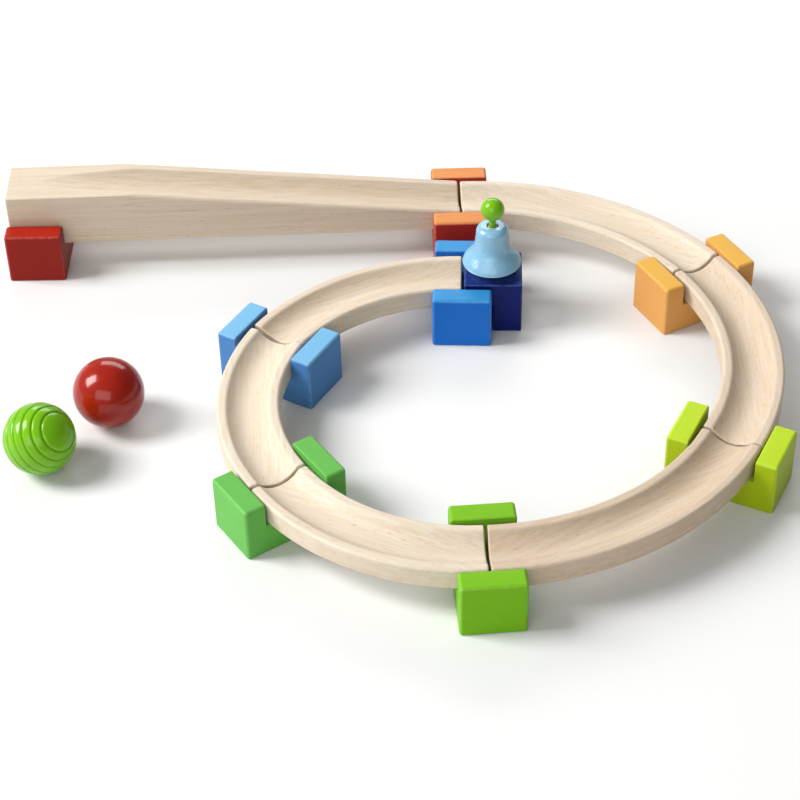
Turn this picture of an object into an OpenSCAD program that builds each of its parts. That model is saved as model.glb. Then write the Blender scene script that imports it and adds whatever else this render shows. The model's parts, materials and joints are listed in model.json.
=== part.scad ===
// Wooden ball track: a ramp and six curved tracks that lie end to end in slotted blocks,
// a bell at the end of the run and two balls. The ramp runs along +X, and Z is 0 on the table.

/* [Track pieces] */
// Width of the curved tracks
track_w = 38.5; // [36:0.5:39]
// Thickness of a curved track, from its flat underside to its rim
track_t = 14.5; // [12:0.5:15]
// Radius of the ball groove's round cutter
groove_r = 17; // [15:0.5:22]
// Depth of the ball groove below the rim
groove_depth = 6.5; // [4:0.5:8]
// Rounding of a track's two upper outer edges
rim_round = 2; // [0.5:0.5:3]
// Centre-line radius of the three large curves
large_curve_r = 175; // [160:1:200]
// Centre-line radius of the three small curves
small_curve_r = 135; // [125:1:150]
// Angle that every curved track turns through
curve_angle = 60; // [60]
// Gap between the ends of two tracks in a slot
joint_gap = 1.8; // [1:0.1:3]

/* [Ramp] */
// Width of the ramp
ramp_w = 40; // [37:0.5:40]
// Length of the ramp
ramp_l = 311; // [280:1:340]
// Length of the level stretch at the ramp's high end
ramp_level_l = 86; // [60:1:110]
// Slope of the ramp's top, in degrees
ramp_slope = 5.9; // [4:0.05:8]

/* [Slotted blocks] */
// Length of a block along the track
block_l = 39; // [34:0.5:44]
// Width of a block across the track
block_w = 70; // [64:0.5:76]
// Height of a block
block_h = 36.5; // [33:0.5:40]
// Width of the slot that the tracks lie in
slot_w = 42.2; // [41.5:0.1:44]
// Height of the slot's floor above the table
slot_floor = 20.4; // [16:0.2:22]
// Rounding of the blocks' edges
block_round = 2; // [1:0.5:3]

/* [Bell stand] */
// Height of the bell block
bell_block_h = 38; // [36:0.5:42]
// Length of the bell block's tongue, which lies in the last slot
tongue_l = 18.2; // [17:0.1:20]
// Length of the bell block's foot, which stands on the table
foot_l = 20; // [16:0.2:26]
// Radius of the wooden post that carries the bell
post_r = 4.9; // [4:0.1:5.5]
// Radius of the knob's stem
stem_r = 2.3; // [1.8:0.1:2.5]
// Radius of the knob's ball
knob_r = 7.7; // [6:0.1:9]
// Height of the knob's centre above the top of the bell
knob_rise = 12.6; // [11:0.2:15]

/* [Bell] */
// Radius of the bell's rim
bell_r = 19.5; // [17:0.5:20]
// Height of the bell
bell_h = 28.5; // [26:0.5:32]
// Radius of the bell's waist, where it meets the crown
bell_waist_r = 10.2; // [9.5:0.1:11]
// Growth of the waist's radius for every millimetre down
bell_taper = 0.09; // [0:0.01:0.15]
// Thickness of the bell's metal
bell_wall = 1.2; // [1:0.1:1.8]
// Radius of the hole in the bell's crown
bell_hole_r = 3.7; // [3.4:0.1:4]
// Height of the bell's rim above the bell block
bell_lift = 6; // [4:0.5:10]

/* [Balls] */
// Diameter of both balls
ball_d = 45; // [40:1:50]
// Angle between two of the grooved ball's turned grooves, seen from its centre
ball_groove_step = 16; // [12:1:20]
// Number of turned grooves on the grooved ball; the caps at its two ends are plain
ball_grooves = 8; // [4:2:8]
// Depth of the turned grooves
ball_groove_depth = 1; // [0.4:0.1:1.2]

/* [Layout] */
// Slack turn of each curve against the piece before it, in degrees
slack_1 = -0.3; // [-2:0.1:2]
slack_2 = -1.3; // [-2:0.1:2]
slack_3 = 1.4; // [-2:0.1:2]
slack_4 = 0.9; // [-2:0.1:2]
slack_5 = -0.1; // [-2:0.1:2]
slack_6 = -4.6; // [-5:0.1:0]

/* [Hidden] */
$fn = 64;

slack = [slack_1, slack_2, slack_3, slack_4, slack_5, slack_6];
// Turn of each block in its joint, red block first: the slots are wide enough for it.
block_turn = [-2, -1, -3.9, 2.6, 2, 1.4, -0.6, -0.8];
// How far each block sits towards the inside of the bend, where the curved tracks bulge.
bend_offset = [0, 1, 1.2, 0.2, 0.4, 0.6, 1.1, 0.1];
// The middle of the whole layout, from the joint between the ramp and the first curve.
layout_middle = [-60.5, -176.5];
// The balls lie on the table in the corner that the ramp and the curves leave free.
red_ball_at = [-232.9, -187.6];
grooved_ball_at = [-272.3, -229.9];
// The grooved ball's turning axis points up to the right and a little to the front.
grooved_ball_tilt = 54;
grooved_ball_spin = -27.5;
// The higher, the narrower the ball's turned grooves and the wider the bands between them.
groove_sharpness = 3;

// The red block's outer face stands this far out past the ramp's high end.
ramp_inset = 1.2;
// The bell block's foot starts this far past the bell's axis, clear of the last block.
foot_start = 0.9;
// Radial gap of the glued joints at the foot of the post and of the knob's stem.
glue_gap = 0.05;
// Gap between the round top of the post and the edge of the bell's hole.
rock_gap = 0.3;
// Height of the post's foot above the table, and depth of the knob's stem below the rocking centre.
post_foot = 22;
stem_depth = 13;
// Rounding of the bell's shoulder, and the height and sharpness of the skirt's flare.
crown_round = 4.5;
flare_h = 8.6;
flare_power = 2.1;

beech = "#E8D6BC";
eps = 0.1;

// A vector of length d along a heading, and one to the left of it.
function along(heading, d) = d * [cos(heading), sin(heading)];
function left_of(heading, d) = d * [-sin(heading), cos(heading)];

// The run goes round clockwise: curve i starts in joint i and ends in joint i + 1.
function curve_r(i) = i < 3 ? large_curve_r : small_curve_r;
function heading_in(i) = i == 0 ? 0 : heading_out(i - 1) - curve_angle;
function heading_out(i) = heading_in(i) + slack[i];
function joint_at(i) =
    i == 0 ? [0, 0]
           : curve_centre(i - 1) + left_of(heading_in(i), curve_r(i - 1))
             + along(heading_in(i), joint_gap / 2);
function curve_centre(i) =
    joint_at(i) + along(heading_out(i), joint_gap / 2) - left_of(heading_out(i), curve_r(i));

// Everything is drawn from the first joint, and moved so that the origin is in the middle.
module place(at, turn = 0) {
    translate(concat(at - layout_middle, 0)) rotate(turn) children();
}

// A rectangle standing on y = 0, with rounded upper corners.
module upper_rounded(w, h, r) {
    translate([-w / 2, 0]) square([w, h - r]);
    translate([-w / 2 + r, 0]) square([w - 2 * r, h]);
    for (side = [-1, 1]) translate([side * (w / 2 - r), h - r]) circle(r);
}

// A rectangle centred on the origin, with all four corners rounded.
module rounded_rect(l, w, r) {
    square([l - 2 * r, w], center = true);
    square([l, w - 2 * r], center = true);
    for (x = [-1, 1], y = [-1, 1]) translate([x * (l / 2 - r), y * (w / 2 - r)]) circle(r);
}

// Cross-section of a curved track: y is its height above the slot floor.
module track_section() {
    difference() {
        upper_rounded(track_w, track_t, rim_round);
        translate([0, track_t - groove_depth + groove_r]) circle(groove_r, $fn = 96);
    }
}

// Curved track i, turning clockwise from its joint.
module curve(i) {
    color(beech)
        place(curve_centre(i))
            translate([0, 0, slot_floor])
                rotate_extrude(angle = curve_angle, start = 90 + heading_out(i) - curve_angle, $fn = 180)
                    translate([curve_r(i), 0]) track_section();
}

// The ramp: level at its high end, then one straight slope down to the first joint. One
// straight groove follows the slope, so it starts in the level stretch and deepens from there.
module ramp() {
    ramp_end = -joint_gap / 2;
    slope_l = ramp_l - ramp_level_l;
    level_z = track_t + slope_l * tan(ramp_slope);
    color(beech)
        place([0, 0])
            translate([ramp_end, 0, slot_floor])
                difference() {
                    rotate([90, 0, 0])
                        linear_extrude(ramp_w, center = true)
                            polygon([[-ramp_l, 0], [0, 0], [0, track_t],
                                     [-slope_l, level_z], [-ramp_l, level_z]]);
                    translate([0, 0, track_t - groove_depth])
                        rotate([0, ramp_slope - 90, 0])
                            translate([groove_r, 0, -groove_r])
                                cylinder(h = ramp_l * 1.2, r = groove_r, $fn = 96);
                }
}

// A slotted block: its slot runs along x.
module slotted_block(paint) {
    color(paint)
        intersection() {
            linear_extrude(block_h) rounded_rect(block_l, block_w, block_round);
            rotate([90, 0, 90])
                linear_extrude(block_l + 2 * eps, center = true)
                    difference() {
                        upper_rounded(block_w, block_h, block_round);
                        translate([-slot_w / 2, slot_floor]) square([slot_w, block_h]);
                    }
        }
}

// Block i under joint i, in line with the mean of the two headings that meet there.
module joint_block(i, paint) {
    heading = i < 6 ? (heading_in(i) + heading_out(i)) / 2 : heading_in(6);
    place(joint_at(i) - left_of(heading, bend_offset[i + 1]), heading + block_turn[i + 1])
        slotted_block(paint);
}

module red_block() {
    place([block_l / 2 - ramp_l - joint_gap / 2 - ramp_inset, 0], block_turn[0])
        slotted_block("#B8281C");
}
module orange_block() { joint_block(0, "#F0A860"); }
module yellow_block() { joint_block(1, "#FFC63D"); }
module lime_block() { joint_block(2, "#CDEE1E"); }
module bright_green_block() { joint_block(3, "#85CC10"); }
module mid_green_block() { joint_block(4, "#72C757"); }
module sky_blue_block() { joint_block(5, "#87CBF5"); }
module blue_block() { joint_block(6, "#3C93DE"); }

module large_curve_1() { curve(0); }
module large_curve_2() { curve(1); }
module large_curve_3() { curve(2); }
module small_curve_1() { curve(3); }
module small_curve_2() { curve(4); }
module small_curve_3() { curve(5); }

// The bell stand is in line with the end of the last curve, and starts in the last slot.
module on_bell_axis() {
    place(joint_at(6) + along(heading_in(6), joint_gap / 2 + tongue_l), heading_in(6)) children();
}

module bell_block() {
    color("#24508E")
        on_bell_axis()
            difference() {
                intersection() {
                    translate([(foot_l - tongue_l) / 2, 0, 0])
                        linear_extrude(bell_block_h)
                            rounded_rect(foot_l + tongue_l, track_w, block_round / 2);
                    rotate([90, 0, 90])
                        linear_extrude(2 * block_l, center = true)
                            upper_rounded(track_w, bell_block_h, block_round / 2);
                }
                translate([-tongue_l - eps, -track_w, -eps])
                    cube([tongue_l + foot_start + eps, 2 * track_w, slot_floor + eps]);
                translate([0, 0, post_foot]) cylinder(h = bell_block_h, r = post_r + glue_gap);
            }
}

// Height of the bell's rim, of its crown's underside, and of the centre of the post's round top,
// on which the edge of the crown's hole rocks.
bell_z = bell_block_h + bell_lift;
crown_z = bell_z + bell_h - bell_wall;
pivot_z = crown_z - sqrt(pow(post_r + rock_gap, 2) - pow(bell_hole_r, 2));

module bell_post() {
    color(beech)
        on_bell_axis()
            rotate_extrude()
                difference() {
                    union() {
                        translate([0, post_foot]) square([post_r, pivot_z - post_foot]);
                        intersection() {
                            translate([0, pivot_z]) circle(post_r);
                            translate([0, pivot_z]) square([post_r, post_r]);
                        }
                    }
                    translate([-eps, pivot_z - stem_depth - 1])
                        square([stem_r + glue_gap + eps, stem_depth + post_r + 2]);
                }
}

// Outer radius of the bell at height h above its rim: a flared skirt and a slim waist.
function bell_waist(h) = bell_waist_r + bell_taper * (bell_h - h);
function bell_skirt(h) =
    bell_waist(h) + (bell_r - bell_waist(0)) * exp(-pow(h / flare_h, flare_power));

module bell() {
    steps = 24;
    skirt_h = bell_h - crown_round;
    crown_r = bell_skirt(skirt_h) - crown_round;
    outer = concat(
        [for (k = [0:steps]) let (h = skirt_h * k / steps) [bell_skirt(h), h]],
        [for (a = [10:10:90]) [crown_r + crown_round * cos(a), skirt_h + crown_round * sin(a)]]);
    inner_round = crown_round - bell_wall;
    inner = concat(
        [for (a = [90:-10:10]) [crown_r + inner_round * cos(a), skirt_h + inner_round * sin(a)]],
        [for (k = [steps:-1:0]) let (h = skirt_h * k / steps) [bell_skirt(h) - bell_wall, h]]);
    hole_edge = [[bell_hole_r, bell_h], [bell_hole_r, bell_h - bell_wall]];
    color("#97CDEE")
        on_bell_axis()
            translate([0, 0, bell_z])
                rotate_extrude()
                    polygon(concat(outer, hole_edge, inner));
}

module bell_knob() {
    color("#85CC10")
        on_bell_axis()
            rotate_extrude() {
                knob_z = bell_z + bell_h + knob_rise;
                stem_z = pivot_z - stem_depth;
                translate([0, stem_z]) square([stem_r, knob_z - stem_z]);
                intersection() {
                    translate([0, knob_z]) circle(knob_r);
                    translate([0, knob_z - knob_r]) square([knob_r, 2 * knob_r]);
                }
            }
}

module red_ball() {
    color("#C42A14") place(red_ball_at) translate([0, 0, ball_d / 2]) sphere(d = ball_d, $fn = 96);
}

// Radius of the grooved ball at angle a from its turning axis: narrow grooves between bands
// that bulge a little, with the middle band on the ball's widest circle.
function ball_profile(a) =
    ball_d / 2
    - (abs(a - 90) > ball_grooves / 2 * ball_groove_step ? 0 : ball_groove_depth)
      * pow(1 - abs(cos(180 * (a - 90) / ball_groove_step)), groove_sharpness);

module grooved_ball() {
    steps = 180;
    color("#85CC10")
        place(grooved_ball_at)
            translate([0, 0, ball_d / 2])
                rotate([0, grooved_ball_tilt, grooved_ball_spin])
                    rotate_extrude()
                        polygon([for (k = [0:steps]) let (a = 180 * k / steps)
                                 ball_profile(a) * [sin(a), cos(a)]]);
}

red_block();
orange_block();
yellow_block();
lime_block();
bright_green_block();
mid_green_block();
sky_blue_block();
blue_block();
ramp();
large_curve_1();
large_curve_2();
large_curve_3();
small_curve_1();
small_curve_2();
small_curve_3();
bell_block();
bell_post();
bell();
bell_knob();
red_ball();
grooved_ball();
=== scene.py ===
"""The looks of the wooden ball track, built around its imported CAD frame.

Lengths are in millimetres and angles in degrees, and a mesh is turned into metres when it is
placed. Each piece is drawn in a frame of its own, with the wood's grain along X. Its points there
are kept on the mesh as the attribute "grain", which the materials read.
"""

import json
import math

import bmesh
import bpy
from mathutils import Matrix, Vector, noise


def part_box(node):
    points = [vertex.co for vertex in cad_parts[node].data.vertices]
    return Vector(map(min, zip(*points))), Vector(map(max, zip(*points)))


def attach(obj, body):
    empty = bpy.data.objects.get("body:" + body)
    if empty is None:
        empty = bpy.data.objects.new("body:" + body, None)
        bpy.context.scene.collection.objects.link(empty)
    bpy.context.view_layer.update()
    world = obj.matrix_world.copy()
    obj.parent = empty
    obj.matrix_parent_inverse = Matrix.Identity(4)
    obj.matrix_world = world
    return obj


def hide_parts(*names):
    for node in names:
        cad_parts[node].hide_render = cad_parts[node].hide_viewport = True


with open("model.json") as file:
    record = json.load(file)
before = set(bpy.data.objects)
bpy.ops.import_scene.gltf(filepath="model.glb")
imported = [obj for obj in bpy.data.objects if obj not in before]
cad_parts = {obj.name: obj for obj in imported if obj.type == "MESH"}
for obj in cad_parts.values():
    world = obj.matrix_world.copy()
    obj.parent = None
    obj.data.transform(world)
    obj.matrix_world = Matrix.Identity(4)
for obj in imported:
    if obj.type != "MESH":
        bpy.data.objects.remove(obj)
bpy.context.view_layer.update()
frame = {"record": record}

MM = 0.001

# How close points are that count as one or as in one plane, and the step along a track's mesh.
SAME_POINT = 0.001
SAME_PLANE = 0.01
SECTION_STEP = 2.5
RAMP_SECTION_STEP = 2

# Camera: its place from the part's origin, its angles and its lens.
CAMERA_AT = (-13.1, -1013.1, 840.4)
CAMERA_YAW = 1.374
CAMERA_PITCH = 39.731
CAMERA_ROLL = 1.259
CAMERA_LENS = 92.2

# Tracks. Each curve has its node, its radius and the slack angle of the joint before it.
TRACK_W = 38.5
TRACK_T = 14.5
RIM_ROUND = 2
LIP_ROUND = 3
RAMP_LIP_ROUND = 1.4
UNDER_ROUND = 1
END_ROUND = 1
GROOVE_R = 17
GROOVE_DEPTH = 6.5
LARGE_R = 175
SMALL_R = 135
BEND = 60
JOINT_GAP = 1.8
CURVES = (
    ("large_curve_1", LARGE_R, -0.3),
    ("large_curve_2", LARGE_R, -1.3),
    ("large_curve_3", LARGE_R, 1.4),
    ("small_curve_1", SMALL_R, 0.9),
    ("small_curve_2", SMALL_R, -0.1),
    ("small_curve_3", SMALL_R, -4.6),
)

# Ramp.
RAMP_SLOPE = 5.9
LEVEL_EDGE = 0.7
BREAK_SOFTNESS = 0.25
GROOVE_END_SOFTNESS = 0.06

# Slotted blocks, in the order of the run. Each has its node, its material slot and its turn away
# from the run's heading there.
SLOT_W = 42.2
SLOT_FLOOR = 20.4
BLOCK_L = 39
BLOCK_W = 70
BLOCK_ROUND = 2.2
INNER_ROUND = 1.0
BLOCKS = (
    ("red_block", "red_paint", -2),
    ("orange_block", "orange_paint", -1),
    ("yellow_block", "yellow_paint", -3.9),
    ("lime_block", "lime_paint", 2.6),
    ("bright_green_block", "bright_green_paint", 2),
    ("mid_green_block", "mid_green_paint", 1.4),
    ("sky_blue_block", "sky_blue_paint", -0.6),
    ("blue_block", "blue_paint", -0.8),
)

# Bell stand and bell.
TONGUE_L = 18.2
FOOT_START = 0.9
FOOT_L = 20
BELL_BLOCK_ROUND = 1.2
POST_R = 4.9
POST_FOOT = 22
GLUE_GAP = 0.05
STEM_R = 2.3
STEM_DEPTH = 13
STEM_END_GAP = 1
KNOB_R = 7.7
KNOB_FILLET = 3.5
BELL_R = 19.5
BELL_WALL = 1.2
BELL_WAIST_R = 10.2
BELL_TAPER = 0.09
FLARE_H = 8.6
FLARE_POWER = 2.1
BELL_HOLE_R = 3.7
ROCK_GAP = 0.3
CROWN_ROUND = 4.5

# Balls.
GROOVE_STEP = 16
GROOVES = 8
GROOVE_SHARPNESS = 3
TURNED_DEPTH = 1
GROOVED_TILT = 54
GROOVED_SPIN = -27.5


# ---------------------------------------------------------------- places, from the frame


def box_mm(node):
    """Lowest and highest corner of a CAD node, in millimetres."""
    low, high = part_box(node)
    return low / MM, high / MM


def middle_of(node):
    low, high = box_mm(node)
    return (low + high) / 2


def along(heading, distance):
    turn = math.radians(heading)
    return distance * Vector((math.cos(turn), math.sin(turn), 0))


def left_of(heading, distance):
    return along(heading + 90, distance)


def placed(at, heading=0, tilt=0):
    """The matrix of a piece's own frame: tilted about Y, turned about Z, then moved."""
    turned = Matrix.Rotation(math.radians(heading), 4, "Z")
    tilted = Matrix.Rotation(math.radians(tilt), 4, "Y")
    return Matrix.Translation(at) @ turned @ tilted


def lay_out_curves():
    """Every curve's centre, first heading and radius, and the run's heading at every block."""
    low, high = box_mm("ramp")
    joint = Vector((high.x + JOINT_GAP / 2, (low.y + high.y) / 2, 0))
    heading = 0
    arcs = {}
    joint_headings = [heading]
    for name, radius, slack in CURVES:
        start = heading + slack
        joint_headings.append((heading + start) / 2)
        centre = joint + along(start, JOINT_GAP / 2) - left_of(start, radius)
        heading = start - BEND
        joint = centre + left_of(heading, radius) + along(heading, JOINT_GAP / 2)
        arcs[name] = (centre, start, radius)
    joint_headings.append(heading)
    return arcs, joint_headings


ARCS, JOINT_HEADINGS = lay_out_curves()
BELL_HEADING = JOINT_HEADINGS[-1]


# ---------------------------------------------------------------- meshes


def grid(points_in_rings, ring_loop, point_loop):
    """A mesh over rings of points; the loops say whether rings and points close on themselves."""
    shape = bmesh.new()
    rings = [[shape.verts.new(p) for p in ring] for ring in points_in_rings]
    ring_pairs = len(rings) if ring_loop else len(rings) - 1
    count = len(rings[0])
    point_pairs = count if point_loop else count - 1
    for j in range(ring_pairs):
        here, there = rings[j], rings[(j + 1) % len(rings)]
        for k in range(point_pairs):
            n = (k + 1) % count
            shape.faces.new((here[k], here[n], there[n], there[k]))
    if not ring_loop:
        ends = [shape.faces.new(rings[0][::-1]), shape.faces.new(rings[-1])]
        bmesh.ops.triangulate(shape, faces=ends)
    return shape


def finished(shape, name, place, node, slot, material, wear=None):
    """Turns a bmesh in a piece's own frame into the piece that stands for one CAD node."""
    bmesh.ops.remove_doubles(shape, verts=shape.verts, dist=SAME_POINT)
    bmesh.ops.recalc_face_normals(shape, faces=shape.faces)
    mesh = bpy.data.meshes.new(name)
    shape.to_mesh(mesh)
    shape.free()
    mesh.shade_smooth()
    grain = mesh.attributes.new("grain", "FLOAT_VECTOR", "POINT")
    grain.data.foreach_set("vector", [c for v in mesh.vertices for c in v.co])
    worn = mesh.attributes.new("wear", "FLOAT", "POINT")
    worn.data.foreach_set("value", [wear(v) if wear else 0.0 for v in mesh.vertices])
    mesh.transform(Matrix.Scale(MM, 4) @ place)
    mesh.materials.append(material)
    piece = bpy.data.objects.new(name, mesh)
    bpy.context.scene.collection.objects.link(piece)
    shading = piece.modifiers.new("shading", "WEIGHTED_NORMAL")
    shading.keep_sharp = True
    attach(piece, body_of(node))
    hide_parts(node)
    check_size(piece, node)
    return piece


def body_of(node):
    """The CAD body that a node is part of."""
    bodies = frame["record"]["behaviour"]["bodies"]
    return next(body for body, nodes in bodies.items() if node in nodes)


def check_size(piece, node, allowed=0.6):
    """Stops the script if a piece isn't where its CAD node is, to within the allowed distance."""
    low, high = box_mm(node)
    points = [v.co / MM for v in piece.data.vertices]
    for axis in range(3):
        off_low = min(p[axis] for p in points) - low[axis]
        off_high = max(p[axis] for p in points) - high[axis]
        if abs(off_low) > allowed or abs(off_high) > allowed:
            raise ValueError(f"{piece.name} is off its node by {off_low:.2f} and {off_high:.2f} mm")


def edge_wear(vertex):
    """1 where a box-like piece's rounded edges face diagonally, 0 on its flat sides."""
    flat = max(abs(c) for c in vertex.normal)
    return min(1.0, (1 - flat) / 0.25)


def arc(centre, radii, start, end, steps):
    """Points of an elliptical arc between two angles."""
    points = []
    for k in range(steps + 1):
        angle = math.radians(start + (end - start) * k / steps)
        x = centre[0] + radii[0] * math.cos(angle)
        points.append((x, centre[1] + radii[1] * math.sin(angle)))
    return points


def soft_min(a, b, softness):
    """The smaller of two heights, with a small rounding where they cross."""
    low, gap = min(a, b), abs(a - b)
    return low - softness * math.log1p(math.exp(-gap / softness))


def track_section(width, top, groove_top, corner, lip=LIP_ROUND):
    """A track's closed cross-section, as (across, up) points, with its groove open to the top.

    The groove is cut from the plane at groove_top, and everything above top is taken off.
    corner is how far the rounding of the upper outer edges goes across and down, and lip is the
    radius of the groove's own edges.
    """
    half = width / 2
    groove_z = groove_top - GROOVE_DEPTH + GROOVE_R
    lip_z = groove_top - lip
    lip_x = math.sqrt((GROOVE_R + lip) ** 2 - (groove_z - lip_z) ** 2)
    tangent = math.degrees(math.atan2(groove_z - lip_z, lip_x))
    under = arc((half - UNDER_ROUND, UNDER_ROUND), (UNDER_ROUND, UNDER_ROUND), -90, 0, 4)
    outer = arc((half - corner[0], top - corner[1]), corner, 0, 90, 8)
    cut = arc((lip_x, lip_z), (lip, lip), 90, 180 - tangent, 8)
    cut += arc((0, groove_z), (GROOVE_R, GROOVE_R), -tangent, -90, 24)[1:]
    if top < groove_top - SAME_POINT:
        cut = [(x, soft_min(z, top, GROOVE_END_SOFTNESS)) for x, z in cut]
    right = [(0, 0)] + under + outer + cut
    left = [(-x, z) for x, z in right[-2:0:-1]]
    return right + left


def inset(section, amount):
    """The section with its points moved inwards."""
    if amount == 0:
        return section
    count = len(section)
    moved = []
    for k, (x, z) in enumerate(section):
        before, after = section[k - 1], section[(k + 1) % count]
        run = Vector((after[0] - before[0], after[1] - before[1])).normalized()
        moved.append((x - run.y * amount, z + run.x * amount))
    return moved


def stations(length, spacing):
    """(distance, inset) pairs along a track, with its two ends rounded."""
    steps = 4
    rounding = []
    for k in range(steps + 1):
        angle = math.radians(90 * k / steps)
        rounding.append((END_ROUND * (1 - math.cos(angle)), END_ROUND * (1 - math.sin(angle))))
    count = round(length / spacing)
    middle = [(length * k / count, 0) for k in range(1, count)]
    return rounding + middle + [(length - d, i) for d, i in reversed(rounding)]


def track_wear(height_of_top):
    """Wear of a track: most on the upper edges, some along the rims."""

    def wear(vertex):
        depth = height_of_top(vertex.co) - vertex.co.z
        tilted = 1 - abs(vertex.normal.z)
        near_rim = max(0.0, 1 - depth / 2.5)
        return min(1.0, near_rim * (0.35 + 2 * tilted))

    return wear


def make_curve(name):
    """A curved track, drawn round the origin with the chord of its arc along X."""
    centre, start, radius = ARCS[name]
    section = track_section(TRACK_W, TRACK_T, TRACK_T, (RIM_ROUND, RIM_ROUND))
    length = math.radians(BEND) * radius
    rings = []
    for distance, amount in stations(length, SECTION_STEP):
        angle = distance / radius - math.radians(BEND) / 2
        ring = []
        for across, up in inset(section, amount):
            reach = radius + across
            ring.append((reach * math.sin(angle), reach * math.cos(angle), up))
        rings.append(ring)
    place = placed(centre + Vector((0, 0, SLOT_FLOOR)), start - BEND / 2)
    shape = grid(rings, ring_loop=False, point_loop=True)
    material = beech(name, seed=len(name) + radius + start)
    wear = track_wear(lambda point: TRACK_T)
    return finished(shape, f"{name}_wood", place, name, "beech", material, wear)


def make_ramp():
    """The ramp, drawn with its low end at the origin and its high end along -X.

    The groove and the rounded edges are cut along the slope, and the level stretch cuts them off.
    """
    low, high = box_mm("ramp")
    length = high.x - low.x
    level = high.z - SLOT_FLOOR
    width = high.y - low.y
    tan_slope = math.tan(math.radians(RAMP_SLOPE))
    rings = []
    for distance, amount in stations(length, RAMP_SECTION_STEP):
        x = distance - length
        plane = TRACK_T - x * tan_slope
        top = soft_min(plane, level, BREAK_SOFTNESS)
        cut = min(RIM_ROUND, max(0.0, plane - level))
        across = RIM_ROUND - math.sqrt(RIM_ROUND**2 - (RIM_ROUND - cut) ** 2)
        corner = (max(LEVEL_EDGE, across), max(LEVEL_EDGE, RIM_ROUND - cut))
        section = track_section(width, top, max(plane, top), corner, RAMP_LIP_ROUND)
        rings.append([(x, -side, up) for side, up in inset(section, amount)])
    place = placed(Vector((high.x, (low.y + high.y) / 2, SLOT_FLOOR)))
    shape = grid(rings, ring_loop=False, point_loop=True)
    wear = track_wear(lambda point: min(level, TRACK_T - point.x * tan_slope))
    material = beech("ramp", seed=3)
    return finished(shape, "ramp_wood", place, "ramp", "beech", material, wear)


def prism(outline, half_depth, as_point):
    """A bmesh prism over an outline; as_point turns (a, b, depth) into a point."""
    shape = bmesh.new()
    near = [shape.verts.new(as_point(a, b, -half_depth)) for a, b in outline]
    far = [shape.verts.new(as_point(a, b, half_depth)) for a, b in outline]
    count = len(outline)
    shape.faces.new(near[::-1])
    shape.faces.new(far)
    for k in range(count):
        n = (k + 1) % count
        shape.faces.new((near[k], near[n], far[n], far[k]))
    bmesh.ops.recalc_face_normals(shape, faces=shape.faces)
    return shape


def round_edges(shape, width_of):
    """Rounds every convex edge by the width that width_of gives for it; returns a new bmesh."""
    widest = max(width_of(e) for e in shape.edges)
    weights = shape.edges.layers.float.new("bevel_weight_edge")
    for e in shape.edges:
        e[weights] = width_of(e) / widest if e.is_convex else 0.0
    holder = holder_of(shape)
    bevel = holder.modifiers.new("bevel", "BEVEL")
    bevel.limit_method = "WEIGHT"
    bevel.width = widest
    bevel.segments = 6
    bevel.use_clamp_overlap = False
    return taken_from(holder)


def holder_of(shape):
    """A temporary object that holds a bmesh, for a modifier to work on."""
    mesh = bpy.data.meshes.new("holder")
    shape.to_mesh(mesh)
    shape.free()
    holder = bpy.data.objects.new("holder", mesh)
    bpy.context.scene.collection.objects.link(holder)
    return holder


def taken_from(holder):
    """The bmesh that a temporary object's modifiers make; the object is removed."""
    shape = bmesh.new()
    shape.from_object(holder, bpy.context.evaluated_depsgraph_get())
    discard(holder)
    return shape


def discard(holder):
    mesh = holder.data
    bpy.data.objects.remove(holder)
    bpy.data.meshes.remove(mesh)


def drilled(shape, radius, foot, top):
    """The shape with a blind hole along its own Z axis, from the height top down to foot."""
    cutter = bmesh.new()
    middle = Matrix.Translation((0, 0, (foot + top) / 2))
    bmesh.ops.create_cone(
        cutter, cap_ends=True, segments=96, radius1=radius, radius2=radius, depth=top - foot,
        matrix=middle,
    )
    drill = holder_of(cutter)
    holder = holder_of(shape)
    hole = holder.modifiers.new("hole", "BOOLEAN")
    hole.operation = "DIFFERENCE"
    hole.object = drill
    result = taken_from(holder)
    discard(drill)
    return result


def make_block(name, slot, turn, heading):
    """A slotted block, drawn round the middle of its footprint with its slot along X."""
    low, high = box_mm(name)
    height = high.z
    half, half_slot = BLOCK_W / 2, SLOT_W / 2
    outline = [(-half, 0), (half, 0), (half, height), (half_slot, height)]
    outline += [(half_slot, SLOT_FLOOR), (-half_slot, SLOT_FLOOR)]
    outline += [(-half_slot, height), (-half, height)]
    shape = prism(outline, BLOCK_L / 2, lambda across, up, depth: (depth, across, up))

    def width_of(edge):
        ends = [v.co for v in edge.verts]
        on_slot = all(abs(p.y) < half_slot + SAME_PLANE for p in ends)
        on_table = all(p.z < SAME_PLANE for p in ends)
        return INNER_ROUND if on_slot or on_table else BLOCK_ROUND

    rounded = round_edges(shape, width_of)
    middle = middle_of(name)
    place = placed(Vector((middle.x, middle.y, 0)), heading + turn)
    return finished(rounded, f"{name}_body", place, name, slot, PAINTS[slot], edge_wear)


def turned(profile, closed, steps=160):
    """A bmesh of a turned piece. The profile's points are (radius, height)."""
    rings = []
    for k in range(steps):
        angle = math.tau * k / steps
        rings.append([(r * math.cos(angle), r * math.sin(angle), z) for r, z in profile])
    return grid(rings, ring_loop=True, point_loop=closed)


def unevenness(shape, depth, size):
    """Takes up to depth off a surface in soft patches of that size, as hand polishing does."""
    shape.normal_update()
    shifts = []
    for v in shape.verts:
        wave = noise.noise(v.co / size) * 0.5 + 0.5
        shifts.append(v.normal * depth * wave)
    for v, shift in zip(shape.verts, shifts):
        v.co -= shift


def bell_frame():
    """The bell stand's own frame: its origin is on the table under the bell's axis."""
    middle = middle_of("bell")
    return placed(Vector((middle.x, middle.y, 0)), BELL_HEADING)


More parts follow.
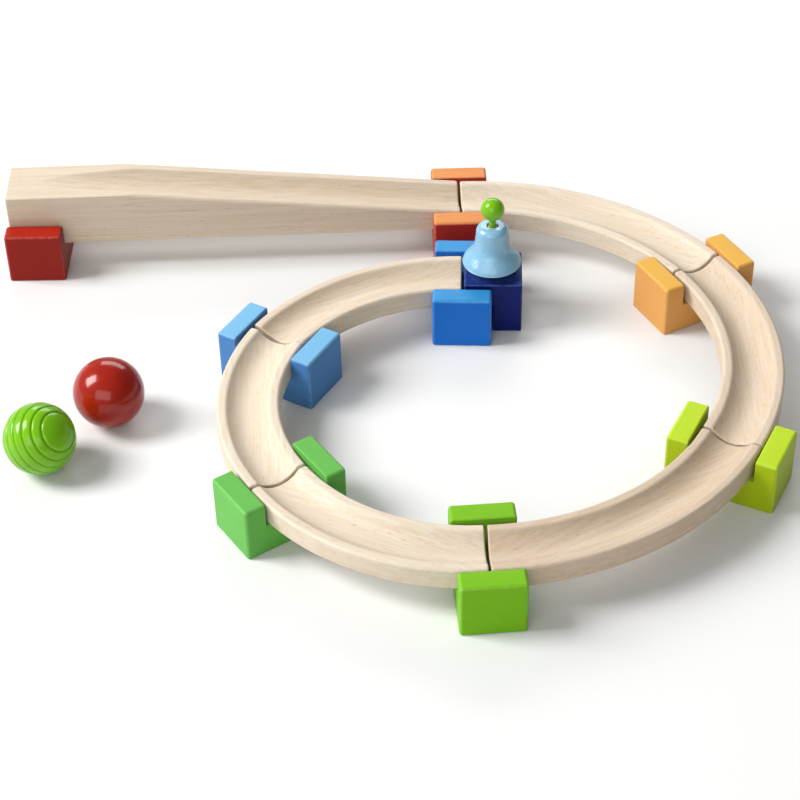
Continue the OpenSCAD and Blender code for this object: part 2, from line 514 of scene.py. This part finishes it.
def pivot_height():
    """Height of the centre of the post's round top, on which the bell rocks."""
    low, high = box_mm("bell")
    return high.z - BELL_WALL - math.sqrt((POST_R + ROCK_GAP) ** 2 - BELL_HOLE_R**2)


def make_bell_block():
    """The bell's wooden block: a foot on the table and a tongue in the last slot."""
    height = box_mm("bell_block")[1].z
    half_width = TRACK_W / 2
    outline = [(-TONGUE_L, SLOT_FLOOR), (FOOT_START, SLOT_FLOOR), (FOOT_START, 0)]
    outline += [(FOOT_L, 0), (FOOT_L, height), (-TONGUE_L, height)]
    shape = prism(outline, half_width, lambda length, up, depth: (length, depth, up))
    rounded = round_edges(shape, lambda edge: BELL_BLOCK_ROUND)
    past_top = height + 5
    bored = drilled(rounded, POST_R + GLUE_GAP, POST_FOOT, past_top)
    slot = "navy_paint"
    place = bell_frame()
    return finished(bored, "bell_block_body", place, "bell_block", slot, PAINTS[slot], edge_wear)


def make_post():
    """The post: its foot is glued into the bell block, and its top is round and bored."""
    pivot = pivot_height()
    bore_r = STEM_R + GLUE_GAP
    bore_top = pivot + math.sqrt(POST_R**2 - bore_r**2)
    bore_foot = pivot - STEM_DEPTH - STEM_END_GAP
    profile = [(0, POST_FOOT), (POST_R - 0.5, POST_FOOT), (POST_R, POST_FOOT + 0.5)]
    crown = arc((0, pivot), (POST_R, POST_R), 0, 90, 24)
    profile += [p for p in crown if p[1] < bore_top - 0.1]
    profile += [(bore_r, bore_top), (bore_r, bore_foot), (0, bore_foot)]
    shape = turned(profile, closed=False, steps=96)
    material = beech("bell_post", seed=8)
    return finished(shape, "bell_post_wood", bell_frame(), "bell_post", "beech", material)


def bell_skirt(height, up):
    """Outer radius of the bell at a height above its rim: a flared skirt and a slim waist."""
    waist = BELL_WAIST_R + BELL_TAPER * (height - up)
    flare = BELL_R - BELL_WAIST_R - BELL_TAPER * height
    return waist + flare * math.exp(-((up / FLARE_H) ** FLARE_POWER))


def make_bell():
    """The bell: one thin turned shell, with a rolled rim and a rounded hole in its crown."""
    low, high = box_mm("bell")
    height = high.z - low.z
    steps = 40
    skirt_h = height - CROWN_ROUND
    crown_r = bell_skirt(height, skirt_h) - CROWN_ROUND
    lip = BELL_WALL / 2
    skirt = []
    for k in range(1, steps + 1):
        up = skirt_h * k / steps
        skirt.append((bell_skirt(height, up), up))
    outer = skirt + arc((crown_r, skirt_h), (CROWN_ROUND, CROWN_ROUND), 0, 90, 10)[1:]
    inner_round = CROWN_ROUND - BELL_WALL
    inner = arc((crown_r, skirt_h), (inner_round, inner_round), 90, 0, 8)
    inner += [(r - BELL_WALL, z) for r, z in reversed(skirt[:-1])]
    hole = arc((BELL_HOLE_R + lip, height - lip), (lip, lip), 90, 270, 8)
    rim = arc((BELL_R - lip, lip), (lip, lip), 180, 360, 8)
    shape = turned(outer + hole + inner + rim, closed=True)
    unevenness(shape, depth=0.06, size=5)
    place = bell_frame() @ Matrix.Translation((0, 0, low.z))
    return finished(shape, "bell_enamel", place, "bell", "bell_metal", ENAMEL)


def make_knob():
    """The knob: a ball with a neck that flares into it, on a stem that goes down into the post."""
    high = box_mm("bell_knob")[1].z
    centre = high - KNOB_R
    foot = pivot_height() - STEM_DEPTH
    neck_r = STEM_R + KNOB_FILLET
    neck_z = centre - math.sqrt((KNOB_R + KNOB_FILLET) ** 2 - neck_r**2)
    meet = math.degrees(math.atan2(centre - neck_z, neck_r))
    ball = arc((0, centre), (KNOB_R, KNOB_R), 90, -meet, 48)
    neck = arc((neck_r, neck_z), (KNOB_FILLET, KNOB_FILLET), 180 - meet, 180, 10)
    stem = [(STEM_R, foot + 0.5), (STEM_R - 0.5, foot), (0, foot)]
    shape = turned(ball + neck[1:] + stem, closed=False, steps=96)
    material = lacquer("knob_lacquer", GREEN_LIGHT, GREEN_DARK)
    return finished(shape, "bell_knob_turned", bell_frame(), "bell_knob", "knob_lacquer", material)


def grooved_radius(radius, angle):
    """Radius of the grooved ball at an angle from its turning axis."""
    on_cap = abs(angle - 90) > GROOVES / 2 * GROOVE_STEP
    depth = 0 if on_cap else TURNED_DEPTH
    wave = abs(math.cos(math.radians(180 * (angle - 90) / GROOVE_STEP)))
    return radius - depth * (1 - wave) ** GROOVE_SHARPNESS


def make_ball(name, slot, material, radius_at, place, steps):
    """A turned ball; radius_at gives its radius at an angle from the turning axis."""
    low, high = box_mm(name)
    radius = (high.z - low.z) / 2
    profile = []
    for k in range(steps + 1):
        angle = 180 * k / steps
        reach = radius_at(radius, angle)
        turn = math.radians(angle)
        profile.append((reach * math.sin(turn), reach * math.cos(turn)))
    shape = turned(profile, closed=False, steps=192)
    unevenness(shape, depth=0.05, size=6)
    return finished(shape, f"{name}_turned", place, name, slot, material)


# ---------------------------------------------------------------- materials

# How bright the lights make a white face that is turned up.
TOP_LIGHT = 1.4


def colour(code):
    """The surface colour that comes out as a code such as #C42A14 on a face turned up."""
    values = [int(code[k : k + 2], 16) / 255 for k in (1, 3, 5)]
    linear = [c / 12.92 if c <= 0.04045 else ((c + 0.055) / 1.055) ** 2.4 for c in values]
    return (*(c / TOP_LIGHT for c in linear), 1)


class Finish:
    """A material, with short ways to add its nodes. Its coordinates are the piece's own, in mm."""

    def __init__(self, name, roughness, specular=0.5):
        self.material = bpy.data.materials.new(name)
        self.material.use_nodes = True
        self.tree = self.material.node_tree
        self.surface = self.tree.nodes["Principled BSDF"]
        self.surface.inputs["Roughness"].default_value = roughness
        self.surface.inputs["Specular IOR Level"].default_value = specular
        self.grain = self.add("Attribute", attribute_name="grain").outputs["Vector"]
        self.wear = self.add("Attribute", attribute_name="wear").outputs["Fac"]

    def add(self, kind, inputs=None, **settings):
        node = self.tree.nodes.new("ShaderNode" + kind)
        for key, value in settings.items():
            setattr(node, key, value)
        for key, value in (inputs or {}).items():
            if isinstance(value, bpy.types.NodeSocket):
                self.tree.links.new(value, node.inputs[key])
            else:
                node.inputs[key].default_value = value
        return node

    def stretched(self, scale, shift=(0, 0, 0)):
        """The piece's coordinates, scaled along and across the grain."""
        inputs = {"Vector": self.grain, "Scale": scale, "Location": shift}
        return self.add("Mapping", inputs).outputs["Vector"]

    def noise(self, scale, shift=(0, 0, 0), detail=3.0, roughness=0.5):
        inputs = {
            "Vector": self.stretched(scale, shift),
            "Scale": 1.0,
            "Detail": detail,
            "Roughness": roughness,
        }
        return self.add("TexNoise", inputs).outputs["Fac"]

    def span(self, value, low, high, to_low=0.0, to_high=1.0):
        """A value's stretch from low to high, mapped to another one and held within it."""
        inputs = {
            "Value": value,
            "From Min": low,
            "From Max": high,
            "To Min": to_low,
            "To Max": to_high,
        }
        return self.add("MapRange", inputs).outputs["Result"]

    def times(self, a, b):
        return self.add("Math", {0: a, 1: b}, operation="MULTIPLY").outputs[0]

    def mix(self, share, a, b, blend="MIX"):
        node = self.add("Mix", data_type="RGBA", blend_type=blend)
        for key, value in ((0, share), (6, a), (7, b)):
            if isinstance(value, bpy.types.NodeSocket):
                self.tree.links.new(value, node.inputs[key])
            else:
                node.inputs[key].default_value = value
        return node.outputs[2]

    def set(self, socket, value):
        self.tree.links.new(value, self.surface.inputs[socket])

    def bump(self, height, depth, strength):
        inputs = {"Height": height, "Distance": depth * MM, "Strength": strength}
        return self.add("Bump", inputs).outputs["Normal"]


# How far a track's wood is from the palest tone, at 0, to the darkest one, at 1.
WOOD_TONES = {"ramp": 0.6, "large_curve_2": 0.7, "large_curve_3": 1.0, "small_curve_3": 0.4}
DARKEST_WOOD = (0.85, 0.79, 0.74, 1)


def beech(name, seed):
    """Oiled beech: straight fibres, faint year rings and short dark flecks."""
    f = Finish(f"beech_{name}", 0.5, 0.35)
    shift = (seed * 37.3, seed * 11.9, seed * 23.1)
    fibres = f.noise((0.03, 1.1, 1.1), shift, 4, 0.6)
    strands = f.noise((0.012, 0.5, 0.5), shift, 4, 0.6)
    patches = f.noise((0.008, 0.03, 0.03), shift, 2)
    rings = f.add(
        "TexWave",
        {
            "Vector": f.stretched((0.25, 1, 1), (shift[0] % 40, 55 + shift[1] % 30, -40)),
            "Scale": 0.06,
            "Distortion": 5.0,
            "Detail": 2.0,
            "Detail Scale": 0.5,
        },
        wave_type="RINGS",
        rings_direction="X",
        wave_profile="SAW",
    ).outputs["Fac"]
    flecks = f.span(f.noise((0.16, 1.5, 1.5), shift, 1), 0.66, 0.74)
    pale, tan, brown = colour("#FBF0DE"), colour("#E9D3B4"), colour("#B8946C")
    base = f.mix(f.span(strands, 0.3, 0.7), pale, tan)
    base = f.mix(f.span(patches, 0.35, 0.65, 0, 0.3), base, colour("#EED6BC"))
    base = f.mix(f.times(f.span(rings, 0.55, 1.0), 0.12), base, tan)
    base = f.mix(f.span(fibres, 0.35, 0.75, 0, 0.4), base, tan)
    base = f.mix(f.times(flecks, 0.5), base, brown)
    base = f.mix(f.times(f.wear, 0.35), base, colour("#F8F0E2"))
    darker = f.mix(1.0, base, DARKEST_WOOD, "MULTIPLY")
    f.set("Base Color", f.mix(WOOD_TONES.get(name, 0.0), base, darker))
    f.set("Roughness", f.span(fibres, 0.3, 0.7, 0.45, 0.58))
    f.set("Normal", f.bump(fibres, 0.12, 0.5))
    return f.material


def paint(name, top, deep, sides=None):
    """Stained and painted beech: the grain shows faintly, and edges are worn lighter.

    With sides, the faces that stand upright get a darker colour of their own, which is painted
    shade.
    """
    f = Finish(name, 0.42, 0.12)
    shift = (len(name) * 13.7, len(name) * 5.1, 0)
    fibres = f.noise((0.05, 0.9, 0.9), shift, 4, 0.65)
    cloud = f.noise((0.04, 0.09, 0.09), shift, 3)
    base = f.mix(f.span(fibres, 0.3, 0.75, 0, 0.35), top, deep)
    base = f.mix(f.span(cloud, 0.35, 0.7, 0, 0.3), base, deep)
    # Painted shade: faces that stand upright, by their own normal, take the darker sides colour.
    if sides:
        normal = f.add("NewGeometry").outputs["Normal"]
        upward = f.add("SeparateXYZ", {"Vector": normal}).outputs["Z"]
        base = f.mix(f.span(upward, 0.3, 0.85), sides, base)
    rubbed = f.span(f.noise((0.35, 0.35, 0.35), shift, 4, 0.7), 0.35, 0.6)
    light = tuple(min(1, c * 0.75 + 0.22) for c in top[:3])
    base = f.mix(f.times(f.times(f.wear, rubbed), 0.3), base, (*light, 1))
    f.set("Base Color", base)
    f.set("Roughness", f.span(fibres, 0.3, 0.7, 0.36, 0.48))
    f.set("Normal", f.bump(fibres, 0.1, 0.45))
    return f.material


def lacquer(name, top, deep):
    """Thick glossy lacquer on turned wood."""
    f = Finish(name, 0.14, 0.35)
    cloud = f.noise((0.12, 0.12, 0.12), (len(name), 3, 7), 3)
    ripple = f.noise((0.25, 0.25, 0.25), (5, len(name), 2), 4, 0.6)
    f.set("Base Color", f.mix(f.span(cloud, 0.3, 0.75, 0, 0.5), top, deep))
    f.set("Roughness", f.span(ripple, 0.3, 0.7, 0.12, 0.2))
    f.set("Normal", f.bump(ripple, 0.08, 0.5))
    return f.material


def enamel():
    """Pale blue enamel over metal, with the small unevenness of a dipped coat."""
    f = Finish("bell_enamel", 0.2, 0.65)
    cloud = f.noise((0.1, 0.1, 0.1), (4, 9, 1), 3)
    drips = f.noise((0.3, 0.3, 0.16), (1, 6, 3), 4, 0.55)
    base = f.mix(f.span(cloud, 0.3, 0.75, 0, 0.6), colour("#97CDEE"), colour("#83BFE2"))
    f.set("Base Color", base)
    f.set("Roughness", f.span(drips, 0.3, 0.7, 0.14, 0.3))
    f.set("Normal", f.bump(drips, 0.4, 0.8))
    return f.material


def floor_material():
    f = Finish("floor", 0.7, 0.2)
    f.surface.inputs["Base Color"].default_value = (0.76, 0.76, 0.755, 1)
    return f.material


GREEN_LIGHT, GREEN_DARK = colour("#85CC10"), colour("#6FB41A")

# The blocks' colours: two stain tones of the top and, on some, a painted shade of the upright
# faces.
STAINS_AND_SIDE_SHADE = {
    "red_paint": ("#C62A12", "#A51F12", "#A02218"),
    "orange_paint": ("#F2A055", "#EE8440", "#BE2D25"),
    "yellow_paint": ("#F8BE42", "#F2B250", "#EFAC5E"),
    "lime_paint": ("#CDEE1E", "#B9DC14", "#B6CE16"),
    "bright_green_paint": ("#85CC10", "#78BE14"),
    "mid_green_paint": ("#72C757", "#5DB548"),
    "sky_blue_paint": ("#82C6F0", "#6FB9EA", "#5590D4"),
    "blue_paint": ("#3AA2E2", "#2A88D4", "#1B78E0"),
    "navy_paint": ("#183C94", "#102C78", "#0C1E6E"),
}
PAINTS = {name: paint(name, *map(colour, stains_and_side_shade)) for name, stains_and_side_shade in STAINS_AND_SIDE_SHADE.items()}
ENAMEL = enamel()


# ---------------------------------------------------------------- the object


def build():
    make_ramp()
    for name, _, _ in CURVES:
        make_curve(name)
    for (name, slot, turn), heading in zip(BLOCKS, JOINT_HEADINGS):
        make_block(name, slot, turn, heading)
    make_bell_block()
    make_post()
    make_bell()
    make_knob()
    red = lacquer("red_ball_lacquer", colour("#B4240E"), colour("#861408"))
    green = lacquer("green_ball_lacquer", GREEN_LIGHT, GREEN_DARK)
    place = placed(middle_of("red_ball"))
    make_ball("red_ball", "red_ball_lacquer", red, lambda r, a: r, place, 96)
    place = placed(middle_of("grooved_ball"), GROOVED_SPIN, GROOVED_TILT)
    make_ball("grooved_ball", "green_ball_lacquer", green, grooved_radius, place, 360)


# ---------------------------------------------------------------- floor, light and camera


def make_floor():
    shape = bmesh.new()
    bmesh.ops.create_grid(shape, x_segments=1, y_segments=1, size=8)
    mesh = bpy.data.meshes.new("floor")
    shape.to_mesh(mesh)
    shape.free()
    mesh.materials.append(floor_material())
    floor = bpy.data.objects.new("floor", mesh)
    bpy.context.scene.collection.objects.link(floor)


def soft_light(name, direction, distance, size, power):
    """A large rectangular light that faces the object from a direction, at a distance in metres."""
    data = bpy.data.lights.new(name, "AREA")
    data.shape = "RECTANGLE"
    data.size, data.size_y = size
    data.energy = power
    light = bpy.data.objects.new(name, data)
    bpy.context.scene.collection.objects.link(light)
    toward = Vector(direction).normalized()
    light.location = toward * distance
    light.rotation_mode = "QUATERNION"
    light.rotation_quaternion = toward.to_track_quat("Z", "Y")


def make_lights():
    soft_light("key", (-0.74, 0.05, 0.66), 3.5, (1.4, 1.9), 152)
    soft_light("back", (0.1, 0.9, 0.55), 2.4, (2.0, 0.8), 25)
    soft_light("front", (-0.25, -0.85, 0.5), 2.8, (2.4, 1.4), 25)
    bpy.context.scene.world = room_light(0.48, 0.14)


def room_light(left_strength, right_strength):
    """The light of the room: a white world that fades from the left side to the right side."""
    world = bpy.data.worlds.new("studio")
    world.use_nodes = True
    tree = world.node_tree
    direction = tree.nodes.new("ShaderNodeTexCoord")
    parts = tree.nodes.new("ShaderNodeSeparateXYZ")
    fade = tree.nodes.new("ShaderNodeMapRange")
    fade.inputs["From Min"].default_value = -1
    fade.inputs["From Max"].default_value = 1
    fade.inputs["To Min"].default_value = left_strength
    fade.inputs["To Max"].default_value = right_strength
    background = tree.nodes["Background"]
    background.inputs["Color"].default_value = (1, 1, 1, 1)
    tree.links.new(direction.outputs["Generated"], parts.inputs["Vector"])
    tree.links.new(parts.outputs["X"], fade.inputs["Value"])
    tree.links.new(fade.outputs["Result"], background.inputs["Strength"])
    return world


def make_camera():
    """The camera, turned by yaw, pitch and roll from looking level along +Y."""
    yaw, pitch, roll = (math.radians(a) for a in (CAMERA_YAW, CAMERA_PITCH, CAMERA_ROLL))
    level = Vector((math.sin(yaw), math.cos(yaw), 0))
    forward = level * math.cos(pitch) - Vector((0, 0, math.sin(pitch)))
    right = Vector((math.cos(yaw), -math.sin(yaw), 0))
    down = forward.cross(right)
    across = right * math.cos(roll) + down * math.sin(roll)
    up = right * math.sin(roll) - down * math.cos(roll)
    data = bpy.data.cameras.new("camera")
    data.sensor_width = 36
    data.lens = CAMERA_LENS
    data.clip_end = 50
    camera = bpy.data.objects.new("camera", data)
    bpy.context.scene.collection.objects.link(camera)
    camera.rotation_mode = "QUATERNION"
    camera.rotation_quaternion = Matrix((across, up, -forward)).transposed().to_quaternion()
    camera.location = Vector(CAMERA_AT) * MM
    bpy.context.scene.camera = camera


build()
make_floor()
make_lights()
make_camera()
bpy.context.scene.view_settings.view_transform = "Standard"
